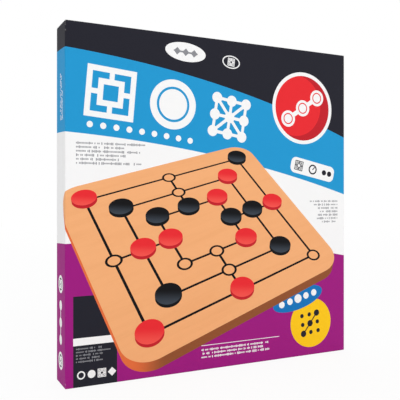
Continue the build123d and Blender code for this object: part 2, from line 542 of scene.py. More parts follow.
@dataclass(frozen=True)
class BoardView:
    """A laid out game drawn on a print, as a lens would show the board standing back on a table."""

    centre: Pair = (113.0, 116.0)
    turned: float = 25.0
    tilt: float = 40.5
    distance: float = 512.0
    lens: float = 458.0
    thick: float = 11.0
    front_corner: float = 66.0
    man: float = 11.5
    man_tall: float = 3.6
    lamp: Triple = (-0.5, -0.86, 0.0)
    seed: float = 34.0
    lines: MorrisLines = MorrisLines()

    def plane(self, picture: Picture, height: float) -> Wire:
        """Finds which spot of a level plane shows at each place of the print.

        With a and b the place over the lens, the depth into the plane is (b (distance - height sin) -
        height cos) / (sin - b cos) of the tilt, and a times the distance along the sight is across.

        Args:
            picture: the picture.
            height: the plane's height over the board's top.

        Returns:
            The place on the board, from its middle.
        """
        bench = picture.bench
        sine, cosine = math.sin(math.radians(self.tilt)), math.cos(math.radians(self.tilt))
        across, up, _ = bench.parts(picture.local(self.centre) * (1 / self.lens))
        deep = (up * (self.distance - height * sine) - height * cosine) / (sine - up * cosine)
        seen = across * (deep * cosine + (self.distance - height * sine))
        return bench.turn(bench.place(seen, deep), -self.turned)

    def lay_board(self, picture: Picture) -> None:
        """Lays the board's edge, lit on one side of the front corner, and then its top.

        Args:
            picture: the picture.
        """
        bench = picture.bench
        low, middle, high = (drawn_board(picture, self.plane(picture, -share * self.thick))
                             for share in (1.0, 0.66, 0.33))
        x, _, _ = bench.parts(picture.place)
        lit = bench.spread(x, self.front_corner - 16, self.front_corner + 16)
        picture.lay(low | middle | high, bench.mix(lit, Ink.EDGE_LIT.rgba, Ink.EDGE_SHADE.rgba))
        top = self.plane(picture, 0.0)
        wood = wood_grain(bench, top, 0.4)
        picture.lay(drawn_board(picture, top), wood)
        self.lines.lay(picture, top, Ink.BLACK, wood)

    def lay_men(self, picture: Picture) -> None:
        """Lays the men as three levels, the top one lit from a side.

        A random number for each point leaves it empty or puts a red or a black man there.

        Args:
            picture: the picture.
        """
        bench = picture.bench
        for share in (0.0, 0.5, 1.0):
            place = self.plane(picture, share * self.man_tall)
            point, away = self.lines.nearest(bench, place)
            draw = bench.chance(point + (0.0, 0.0, self.seed))
            there = (away < self.man) * (draw < 0.72)
            red, black = Ink.RED_DEEP.rgba, Ink.BLACK.rgba
            if share == 1.0:
                glow = bench.spread(bench.vector("DOT_PRODUCT", place - point, self.lamp), -4.0, self.man)
                red = bench.mix(glow, Ink.RED.rgba, Ink.RED_LIT.rgba)
                black = bench.mix(glow, Ink.BLACK.rgba, Ink.SLATE.rgba)
            picture.lay(there, bench.mix(draw < 0.36, red, black))


# ---------------------------------------------------------------- the two prints

@dataclass(frozen=True)
class LidPrint:
    """The cover: fields of colour in sweeping arcs, a laid out game, and small marks, with no words on it.

    Places are millimetres on the unfolded sheet, from the panel's lower left corner. The first is the
    centre of the band's arc, and the others are the middles of signs.
    """

    width: float = 259.9
    height: float = 272.9
    game: BoardView = BoardView()
    sweep: Pair = (-60.0, -900.0)
    mill: Pair = (35.0, 221.0)
    man: Pair = (87.0, 216.0)
    points: Pair = (138.5, 208.5)
    medal: Pair = (213.0, 221.0)
    pale_oval: Pair = (98.0, 259.0)
    dark_oval: Pair = (140.0, 255.0)
    pill: Pair = (224.0, 166.5)
    dark_block: Pair = (23.0, 18.0)
    sun: Pair = (222.0, 29.0)
    blue_oval: Pair = (208.0, 51.5)

    def draw(self, bench: Bench, place: Wire) -> Wire:
        """Lays everything in order, from the fields up.

        Args:
            bench: the material.
            place: the place on the unfolded sheet.

        Returns:
            The colour.
        """
        picture = Picture(bench, place, Ink.WHITE)
        self.lay_fields(picture)
        self.lay_dark_block(picture)
        self.lay_sun(picture)
        self.game.lay_board(picture)
        self.game.lay_men(picture)
        self.lay_title(picture)
        self.lay_medal(picture)
        self.lay_small_signs(picture)
        self.lay_walls(picture)
        return picture.colour

    def lay_fields(self, picture: Picture) -> None:
        """Lays charcoal above, a cyan band under it and purple below, each bounded by a circle's arc.

        Args:
            picture: the picture.
        """
        picture.lay(picture.away(self.sweep) > 1092.0, Ink.CYAN)
        picture.lay(picture.away((-60.0, -650.0)) > 905.0, Ink.CHARCOAL)
        picture.lay(picture.disc((40.0, -1100.0), 1208.0), Ink.PURPLE)

    def lay_dark_block(self, picture: Picture) -> None:
        """Lays a charcoal block with a white stripe, fine marks and four small signs.

        Args:
            picture: the picture.
        """
        picture.lay(picture.block(self.dark_block, (17.0, 50.0), 0.3), Ink.CHARCOAL)
        picture.lay(picture.block(beside(self.dark_block, 0.0, 16.0), (17.0, 2.8), 0.2), Ink.WHITE)
        picture.lay(picture.fine_print((8.0, 18.0), (30.0, 12.0), 2.4), Ink.GREY)
        ring, spot, mill, lozenge = row((12.0, 9.0), (8.0, 0.0), 4)
        picture.lay(picture.ring(ring, 2.6, 1.0) | picture.disc(spot, 3.0), Ink.WHITE)
        picture.lay(picture.squares(mill, 3.0, 0.6), Ink.WHITE)
        picture.lay(picture.block(lozenge, (2.4, 2.4), 0.4, 45.0), Ink.WHITE)

    def lay_sun(self, picture: Picture) -> None:
        """Lays a yellow round with nine points, three of them joined, a blue oval over it, and fine marks.

        Args:
            picture: the picture.
        """
        picture.dot([self.sun], 22.0, Ink.YELLOW)
        first = beside(self.sun, -8.0, -9.5)
        for column in range(3):
            for level, spot in enumerate(row(beside(first, 8.0 * column, 0.9 * column), (-0.9, 8.0), 3)):
                picture.dot([spot], 2.9 if level == column else 1.9, Ink.CHARCOAL)
        picture.lay(picture.bar(first, beside(first, 14.2, 17.8), 1.1), Ink.CHARCOAL)
        picture.lay(picture.oval(self.blue_oval, (27.0, 9.6), 14.0), Ink.BLUE)
        picture.dot(row(beside(self.blue_oval, -17.2, -4.3), (8.6, 2.15), 5), 2.9, Ink.WHITE)
        picture.dot([self.blue_oval], 3.8, Ink.WHITE)
        picture.lay(picture.fine_print((112.0, 9.0), (76.0, 9.0), 3.0), Ink.WHITE)
        picture.lay(picture.block((150.0, 20.0), (38.0, 0.25), 0.1), Ink.WHITE)

    def lay_title(self, picture: Picture) -> None:
        """Lays the band's great signs: a mill, a man and nine points, with nine dots on an arc below.

        The mill is two squares and a cross: the greater of the folded place's parts is near a half width,
        or the smaller is near nothing. The dots are the walked way along the arc, cut into pitches.

        Args:
            picture: the picture.
        """
        bench = picture.bench
        x, y, _ = bench.parts(abs(picture.local(self.mill, -5.0)))
        far, near = x | y, x & y
        squares = (abs(far - 17.5) < 2.2) | (abs(far - 8.2) < 2.2) | (near < 2.0)
        picture.lay((far < 19.7) * (far > 6.0) * squares, Ink.WHITE)
        picture.dot([self.man], 20.0, Ink.WHITE)
        picture.lay(picture.ring(self.man, 13.2, 2.0), Ink.CYAN)
        grid, sign = picture.local(self.points, -9.0), ThreeLines(line=2.6, half=14.0)
        x, y, _ = bench.parts(abs(grid))
        _, away = sign.nearest(bench, grid)
        picture.lay(sign.strokes(x | y, x & y) | (away < 4.6), Ink.WHITE)
        x, y, _ = bench.parts(picture.place - (*self.sweep, 0.0))
        arc, pitch = 1099.5, 10.486
        along = bench.number("ARCTAN2", x, y) * arc
        across = bench.number("FLOORED_MODULO", along, pitch) - pitch / 2
        dots = bench.vector("LENGTH", bench.place(across, picture.away(self.sweep) - arc)) < 2.4
        picture.lay(dots * (along > 7 * pitch) * (along < 16 * pitch), Ink.WHITE)

    def lay_medal(self, picture: Picture) -> None:
        """Lays a red round with a shaded side and three joined men on it.

        Args:
            picture: the picture.
        """
        picture.dot([self.medal], 32.0, Ink.WHITE)
        red = picture.disc(self.medal, 28.8)
        picture.lay(red, Ink.RED)
        picture.lay(red * (picture.away(beside(self.medal, -7.5, 2.0)) > 27.0), Ink.RED_DEEP)
        men = row(beside(self.medal, -15.5, -10.0), (15.5, 10.0), 3)
        picture.lay(picture.bar(men[0], men[-1], 4.0), Ink.WHITE)
        picture.dot(men, 7.2, Ink.WHITE)
        for man in men:
            picture.lay(picture.ring(man, 4.4, 1.0), Ink.RED)

    def lay_small_signs(self, picture: Picture) -> None:
        """Lays two ovals on the charcoal, a pill with small signs on the band, and fine marks.

        Args:
            picture: the picture.
        """
        picture.lay(picture.oval(self.pale_oval, (18.0, 7.6), -4.0), Ink.WHITE)
        chain = row(beside(self.pale_oval, -7.5, 0.4), (7.5, -0.5), 3)
        picture.lay(picture.bar(beside(chain[0], -2.5, 0.2), beside(chain[-1], 2.5, -0.2), 1.4), Ink.GREY)
        for link in chain:
            picture.lay(picture.block(link, (2.2, 2.2), 0.3, 41.0), Ink.GREY)
        picture.lay(picture.oval(self.dark_oval, (8.4, 5.4), -6.0), Ink.WHITE)
        picture.lay(picture.oval(self.dark_oval, (7.4, 4.5), -6.0), Ink.CHARCOAL)
        picture.lay(picture.squares(self.dark_oval, 3.0, 0.6, -6.0), Ink.WHITE)
        picture.lay(picture.block(self.pill, (24.0, 7.0), 5.0, -12.0), Ink.WHITE)
        picture.lay(picture.squares(beside(self.pill, -15.0, 3.3), 4.0, 0.7, -12.0), Ink.CHARCOAL)
        hand = picture.bar(self.pill, beside(self.pill, 2.0, 1.8), 0.9)
        picture.lay(picture.ring(self.pill, 3.8, 1.3) | hand, Ink.CHARCOAL)
        picture.dot(row(beside(self.pill, 12.6, -2.7), (5.8, -1.2), 2), 2.4, Ink.CHARCOAL)
        picture.lay(picture.fine_print((8.0, 166.0), (60.0, 18.0), 3.0), Ink.GREY)
        picture.lay(picture.fine_print((219.0, 118.0), (33.0, 21.7), 3.1, flush_right=True), Ink.GREY)

    def lay_walls(self, picture: Picture) -> None:
        """Lays round signs and joined dots down both side walls, fine marks on one, and dots above.

        Both side walls are drawn at once, on the place folded about the panel's middle.

        Args:
            picture: the picture.
        """
        x, y, _ = picture.bench.parts(picture.place)
        beyond = abs(x - self.width / 2) - (self.width / 2 + 13.5)
        folded = Picture(picture.bench, picture.bench.place(beyond, y), Ink.WHITE)
        for spot in ((0.0, 18.0), (0.0, 76.0)):
            picture.lay(folded.disc(spot, 6.8), Ink.WHITE)
            picture.lay(folded.disc(spot, 4.8), Ink.CHARCOAL)
            picture.lay(folded.squares(spot, 3.0, 0.8), Ink.WHITE)
        for spot in row((0.0, 34.0), (0.0, 13.0), 3):
            picture.lay(folded.disc(spot, 3.8), Ink.WHITE)
        picture.lay(folded.bar((0.0, 32.0), (0.0, 62.0), 1.5), Ink.WHITE)
        picture.lay(picture.fine_print((-7.0, 200.0), (42.0, 9.0), 3.0, 90.0), Ink.WHITE)
        dots = row((82.0, self.height + 13.5), (12.0, 0.0), 9)
        picture.dot(dots[::2], 3.0, Ink.CYAN)
        picture.dot(dots[1::2], 3.0, Ink.WHITE)


@dataclass(frozen=True)
class BasePrint:
    """The back of the box: a white panel with both games' boards from above, on purple with a cyan sweep.

    A drawn board is smaller than the real one by the scale. Other places are millimetres on the sheet.
    """

    width: float = 254.7
    height: float = 267.7
    scale: float = 2.36
    boards: Tuple[Pair, Pair] = ((70.0, 160.0), (184.6, 160.0))
    panel: Pair = (127.3, 124.0)
    badge: Pair = (230.0, 246.0)
    strip: Pair = (206.0, 13.0)

    def draw(self, bench: Bench, place: Wire) -> Wire:
        """Lays everything in order, from the fields up.

        Args:
            bench: the material.
            place: the place on the unfolded sheet.

        Returns:
            The colour.
        """
        picture = Picture(bench, place, Ink.PURPLE)
        picture.lay(picture.away((300.0, -760.0)) > 1010.0, Ink.CYAN)
        picture.lay(picture.away((300.0, -700.0)) > 982.0, Ink.CHARCOAL)
        picture.lay(picture.block(self.panel, (114.0, 98.0), 9.0), Ink.WHITE)
        for centre, lines in zip(self.boards, (MorrisLines(), ThreeLines())):
            spot = picture.local(centre) * self.scale
            wood = wood_grain(bench, spot, 0.4)
            picture.lay(drawn_board(picture, spot + (3.0, 7.0, 0.0)), Ink.EDGE_SHADE)
            picture.lay(drawn_board(picture, spot), wood)
            lines.lay(picture, spot, Ink.BLACK, wood)
        self.lay_men(picture)
        self.lay_marks(picture)
        return picture.colour

    def lay_men(self, picture: Picture) -> None:
        """Lays a few men on points of both boards, each as steps from the board's middle.

        Args:
            picture: the picture.
        """
        near, mid, out, side = 34.0, 61.0, 88.0, 72.0
        nine, three = self.boards
        red = {nine: ((out, out), (-mid, mid), (0.0, mid), (mid, mid), (-near, 0.0)),
               three: ((-side, side), (0.0, 0.0), (side, 0.0))}
        black = {nine: ((-out, -out), (out, 0.0), (0.0, -near), (mid, -mid), (-mid, 0.0)),
                 three: ((side, side), (-side, 0.0), (0.0, -side))}
        for ink, rim, men in ((Ink.RED, Ink.RED_DEEP, red), (Ink.SLATE, Ink.BLACK, black)):
            for board, steps in men.items():
                spots = [beside(board, x / self.scale, y / self.scale) for x, y in steps]
                picture.dot(spots, 4.7, rim)
                picture.dot(spots, 3.9, ink)

    def lay_marks(self, picture: Picture) -> None:
        """Lays rows of fine marks under each board, dots on the charcoal, a badge, and a strip of signs.

        Args:
            picture: the picture.
        """
        for start in (24.0, 138.0):
            for level, tall in ((76.0, 22.0), (52.0, 18.0), (34.0, 12.0)):
                picture.lay(picture.fine_print((start, level), (92.0, tall), 3.1), Ink.GREY)
        picture.lay(picture.block((127.3, 68.0), (0.25, 34.0), 0.1), Ink.GREY)
        dots = row((30.0, 252.0), (11.0, -1.6), 9)
        picture.dot(dots, 3.2, Ink.WHITE)
        picture.dot(dots[::3], 3.2, Ink.RED)
        picture.dot([self.badge], 11.0, Ink.WHITE)
        picture.lay(picture.squares(self.badge, 6.4, 1.0), Ink.CHARCOAL)
        picture.lay(picture.block(self.strip, (36.0, 6.4), 3.0), Ink.CHARCOAL)
        signs = row(beside(self.strip, -24.0), (16.0, 0.0), 4)
        for mill, ring in (signs[:2], signs[2:]):
            picture.lay(picture.squares(mill, 3.2, 0.6) | picture.ring(ring, 3.0, 1.0), Ink.WHITE)
        picture.lay(picture.fine_print((14.0, 8.0), (110.0, 9.0), 3.0), Ink.WHITE)


# ---------------------------------------------------------------- finishes

@dataclass(frozen=True)
class PrintedPaper:
    """Coated paper, printed and laminated, glued round a board: a soft gloss, a little worn at its folds."""

    name: str
    sheet: Union[LidPrint, BasePrint]
    wall: float = 26.4
    ear: float = 12.0
    worn: str = "E9E6E0"

    def make(self) -> bpy.types.Material:
        """Draws the print and puts wear, gloss and relief on it.

        The distance from a fold is that of the folded sheet place from the panel's edge, or from the rim.

        Returns:
            The material.
        """
        bench = Bench(self.name)
        place = bench.sheet_place("sheet")
        across, up, _ = bench.parts(place)
        beyond_x = abs(across - self.sheet.width / 2) - self.sheet.width / 2
        beyond_y = abs(up - self.sheet.height / 2) - self.sheet.height / 2
        fold = (abs(beyond_x) & abs(beyond_y)) & abs((beyond_x | beyond_y) - self.wall)
        corner = bench.spread(abs(beyond_x) | abs(beyond_y), 14.0, 2.0)
        patchy = bench.noise(place, 0.45, 4.0, 0.7) + 0.12 * corner
        rub = bench.spread(fold, 0.75, 0.1) * bench.spread(patchy, 0.6, 0.76)
        ink = bench.mix(0.45 * rub, self.sheet.draw(bench, place), tint(self.worn))
        roughness = 0.6 + 0.08 * bench.noise(place, 0.035, 3.0, 0.6) + 0.2 * rub
        ear = (beyond_y > 0.0) * bench.spread(abs(beyond_x + self.ear), 0.5, 0.0)
        lap = (beyond_y > 0.0) * bench.spread(beyond_x, -self.ear - 0.25, -self.ear + 0.25)
        skin = 0.035 * bench.noise(place, 1.1, 2.0) + 0.35 * bench.noise(place, 0.03, 1.0)
        normal = bench.bump(0.5 * lap + 0.05 * ear + skin + 0.1 * rub, 0.3)
        return bench.finish({"Specular IOR Level": 0.13}, Base_Color=ink, Roughness=roughness, Normal=normal)


@dataclass(frozen=True)
class Greyboard:
    """Recycled grey board: matted fibres, pale and dark specks, and no shine."""

    name: str = "greyboard"
    light: str = "B3AEA5"
    dark: str = "948F86"
    fleck: str = "C6C2B9"
    dark_speck: str = "5F5A53"
    pale_speck: str = "E2DED4"

    def make(self) -> bpy.types.Material:
        """Mixes fibre noise stretched two ways with specks where fine noise peaks.

        Returns:
            The material.
        """
        bench = Bench(self.name)
        place = bench.own_place()
        pulp = bench.noise(place, 0.06, 5.0, 0.65)
        fibre = bench.noise(place * (0.45, 1.0, 1.3), 2.2, 3.0, 0.6, 1.2)
        blend = 0.2 * bench.spread(pulp, 0.35, 0.65) + 0.5 * fibre
        colour = bench.mix(blend, tint(self.dark), tint(self.light))
        for mask, over in ((0.35 * bench.spread(fibre, 0.54, 0.72), self.fleck),
                           (bench.spread(bench.noise(place, 1.9, 1.0), 0.71, 0.75), self.dark_speck),
                           (bench.spread(bench.noise(place + 70.0, 1.5, 1.0), 0.72, 0.76), self.pale_speck)):
            colour = bench.mix(mask, colour, tint(over))
        normal = bench.bump(0.6 * fibre + 0.4 * pulp, 0.14)
        return bench.finish({"Roughness": 0.93, "Specular IOR Level": 0.2}, Base_Color=colour, Normal=normal)


@dataclass(frozen=True)
class GummedTape:
    """Brown gummed paper that holds the corners of the board shells."""

    name: str = "gummed_tape"
    dark: str = "A8794A"
    light: str = "C79A68"
    glued: str = "8A5F37"

    def make(self) -> bpy.types.Material:
        """Lays faint upright fibres and darker glue patches over brown.

        Returns:
            The material.
        """
        bench = Bench(self.name)
        place = bench.own_place()
        fibre = bench.noise(place * (1.0, 1.0, 0.12), 1.6, 4.0, 0.6, 0.6)
        glue = bench.spread(bench.noise(place, 0.11, 3.0), 0.45, 0.65)
        colour = bench.mix(bench.spread(fibre, 0.35, 0.68), tint(self.dark), tint(self.light))
        colour = bench.mix(0.35 * glue, colour, tint(self.glued))
        return bench.finish({"Specular IOR Level": 0.3}, Base_Color=colour, Roughness=0.62 - 0.15 * glue,
                            Normal=bench.bump(fibre, 0.06))


@dataclass(frozen=True)
class FormedSheet:
    """Thin plastic sheet drawn over a mould: glossy, slightly uneven, and darker and rougher deeper into the
    mould.
    """

    name: str = "formed_sheet"
    colour: str = "E4E2DC"
    deep_tone: str = "D2D0CB"

    def make(self) -> bpy.types.Material:
        """Dims the colour a little with depth into the mould, and ripples the gloss.

        Returns:
            The material.
        """
        bench = Bench(self.name)
        place = bench.own_place()
        _, depth, _ = bench.parts(place)
        # The colour turns darker and the roughness higher further along y, deeper into the mould's pockets.
        deeper_share = bench.spread(depth, -8.0, 12.0)
        cloud = bench.noise(place, 0.045, 3.0, 0.6)
        colour = bench.mix(0.5 * deeper_share + 0.18 * cloud, tint(self.colour), tint(self.deep_tone))
        relief = 0.8 * bench.noise(place, 0.05, 2.0) + 0.06 * bench.noise(place, 0.9, 2.0)
        roughness = 0.2 + 0.14 * deeper_share + 0.06 * cloud
        normal = bench.bump(relief, 0.3)
        return bench.finish({"IOR": 1.57}, Base_Color=colour, Roughness=roughness, Normal=normal)


@dataclass(frozen=True)
class BoardWood:
    """Lacquered beech-faced board with a printed diagram on each face and bare brown edges."""

    name: str = "morris_board"
    middle: Triple = (0.0, -6.9, 150.17)
    face: float = 3.3
    pore: str = "B97443"
    edge_dark: str = "9A6238"
    edge_light: str = "C48A5A"

    def make(self) -> bpy.types.Material:
        """Prints nine men's morris on the front face and three men's on the back over grain.

        Returns:
            The material.
        """
        bench = Bench(self.name)
        place = bench.own_place() - self.middle
        x, depth, z = bench.parts(place)
        flat = bench.place(x, z)
        pores = bench.noise(flat * (0.12, 2.4, 1.0), 1.0, 1.0)
        pored = 0.5 * bench.spread(pores, 0.66, 0.76)
        wood = bench.mix(pored, wood_grain(bench, flat, 0.75), tint(self.pore))
        front, back = Picture(bench, flat, Ink.WOOD), Picture(bench, flat, Ink.WOOD)
        for picture, kind in ((front, MorrisLines), (back, ThreeLines)):
            picture.colour = wood
            kind(line=1.6, ring=5.0, ring_line=1.5).lay(picture, flat, Ink.BLACK, wood)
        faces = bench.mix(depth > 0.0, front.colour, back.colour)
        grain = bench.noise(place * (0.3, 1.5, 0.3), 1.2, 4.0, 0.7)
        rim = abs(depth) < self.face
        colour = bench.mix(rim, faces, bench.mix(grain, tint(self.edge_dark), tint(self.edge_light)))
        relief = rim * grain + (1.0 - rim) * pores
        roughness = 0.34 + 0.3 * rim + 0.1 * bench.noise(flat, 0.05, 3.0)
        return bench.finish({"Coat Roughness": 0.2}, Base_Color=colour, Roughness=roughness,
                            Normal=bench.bump(relief, 0.08))


class Man(Enum):
    """The two sides' plastic, as light and dark of the same colour."""

    RED = ("E02A2E", "C41D24")
    BLACK = ("1B1E24", "101216")

    def make(self) -> bpy.types.Material:
        """Moulds glossy plastic with faint flow clouds, fine scratches and a slightly uneven skin.

        Returns:
            The material.
        """
        bench = Bench(f"{self.name.lower()}_man")
        place = bench.own_place()
        flow = bench.noise(place, 0.12, 3.0, 0.6, 1.0)
        rubbed = bench.spread(bench.noise(place * (3.0, 0.5, 0.35), 1.1, 3.0, 0.7), 0.62, 0.8)
        colour = bench.mix(bench.spread(flow, 0.35, 0.65), tint(self.value[0]), tint(self.value[1]))
        roughness = 0.17 + 0.07 * flow + 0.25 * rubbed
        relief = 0.5 * bench.noise(place, 0.25, 2.0) + 0.04 * rubbed
        normal = bench.bump(relief, 0.05)
        return bench.finish({"IOR": 1.52}, Base_Color=colour, Roughness=roughness, Normal=normal)


@dataclass(frozen=True)
class LeafletPaper:
    """The rules leaflet: thin coated paper printed in two colours, with marks in place of words."""

    name: str = "leaflet_paper"
    centre: Triple = (0.0, 0.0, 150.17)
    head: Pair = (0.0, 82.0)

    def make(self) -> bpy.types.Material:
        """Prints a cyan head with signs, a mill diagram and rows of fine marks on white paper.

        Returns:
            The material.
        """
        bench = Bench(self.name)
        x, _, z = bench.parts(bench.own_place() - self.centre)
        picture = Picture(bench, bench.place(x, z), Ink.WHITE)
        picture.lay(picture.block(self.head, (74.5, 23.5), 0.1), Ink.CYAN)
        men = row(beside(self.head, -48.0), (23.0, 0.0), 3)
        picture.lay(picture.bar(beside(men[0], 2.0), beside(men[-1], -2.0), 4.0), Ink.WHITE)
        picture.dot(men, 9.5, Ink.WHITE)
        picture.dot(men, 6.6, Ink.CYAN)
        picture.dot([men[1]], 6.6, Ink.RED)
        picture.lay(picture.squares(beside(self.head, 46.0), 15.0, 1.3), Ink.WHITE)
        picture.lay(picture.squares((-34.0, 20.0), 27.0, 0.9), Ink.CHARCOAL)
        for corner, size in (((6.0, -7.0), (58.0, 52.0)), ((-62.0, -88.0), (56.0, 68.0)),
                             ((6.0, -88.0), (58.0, 68.0))):
            picture.lay(picture.fine_print(corner, size, 3.4), Ink.GREY)
        relief = 0.1 * bench.noise(picture.place, 0.9, 3.0) + bench.noise(picture.place, 0.02, 1.0)
        return bench.finish({"Specular IOR Level": 0.35, "Roughness": 0.5}, Base_Color=picture.colour,
                            Normal=bench.bump(relief, 0.25))


# ---------------------------------------------------------------- meshes

def tube(rows: int, columns: int) -> np.ndarray:
    """Makes the faces between the rows of a grid whose columns close into a ring.

    The point of row i and column j has the number i * columns + j.

    Args:
        rows: number of rows.
        columns: number of columns.

    Returns:
        Four point numbers for each face.
    """
    i, j = np.meshgrid(np.arange(rows - 1), np.arange(columns), indexing="ij")
    k = (j + 1) % columns
    corners = (i * columns + j, i * columns + k, (i + 1) * columns + k, (i + 1) * columns + j)
    return np.stack(corners, -1).reshape(-1, 4)


@dataclass
class Surface:
    """A mesh in the making: points in millimetres, faces, and places on maps for each face corner."""

    points: np.ndarray
    faces: List[np.ndarray]
    maps: Dict[str, List[np.ndarray]] = field(default_factory=dict)

    def volume(self) -> float:
        """Sums the mixed product of the corners over the fans of all faces, over six.

        Returns:
            The signed volume.
        """
        total = 0.0
        for group in self.faces:
            for k in range(1, group.shape[1] - 1):
                a, b, c = (self.points[group[:, i]] for i in (0, k, k + 1))
                total += float(np.einsum("ij,ij->i", a, np.cross(b, c)).sum()) / 6
        return total

    def piece(self, name: str, body: str, material: bpy.types.Material) -> bpy.types.Object:
        """Makes the object, its faces outwards, and sets it on its body.

        Args:
            name: the piece's name.
            body: the body it moves with.
            material: its finish.

        Returns:
            The object, at the origin.
        """
        if self.volume() < 0:
            self.faces = [group[:, ::-1] for group in self.faces]
            self.maps = {key: [group[:, ::-1] for group in groups] for key, groups in self.maps.items()}
        mesh = bpy.data.meshes.new(name)
        faces = [face for group in self.faces for face in group.tolist()]
        mesh.from_pydata((self.points * MM).tolist(), [], faces)
        for key, groups in self.maps.items():
            layer = mesh.uv_layers.new(name=key)
            layer.data.foreach_set("uv", np.concatenate([group.reshape(-1, 2) for group in groups]).ravel())
        mesh.polygons.foreach_set("use_smooth", np.ones(len(mesh.polygons), bool))
        mesh.materials.append(material)
        mesh.update()
        made = bpy.data.objects.new(name, mesh)
        bpy.context.collection.objects.link(made)
        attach(made, body)
        LOG.info("%s: %d faces", name, len(mesh.polygons))
        return made


# Outward ways of the four walls, from the lower one round; steps along a wall, and round a corner.
WAYS = ((0, -1), (1, 0), (0, 1), (-1, 0))
RUN, TURN = 66, 6


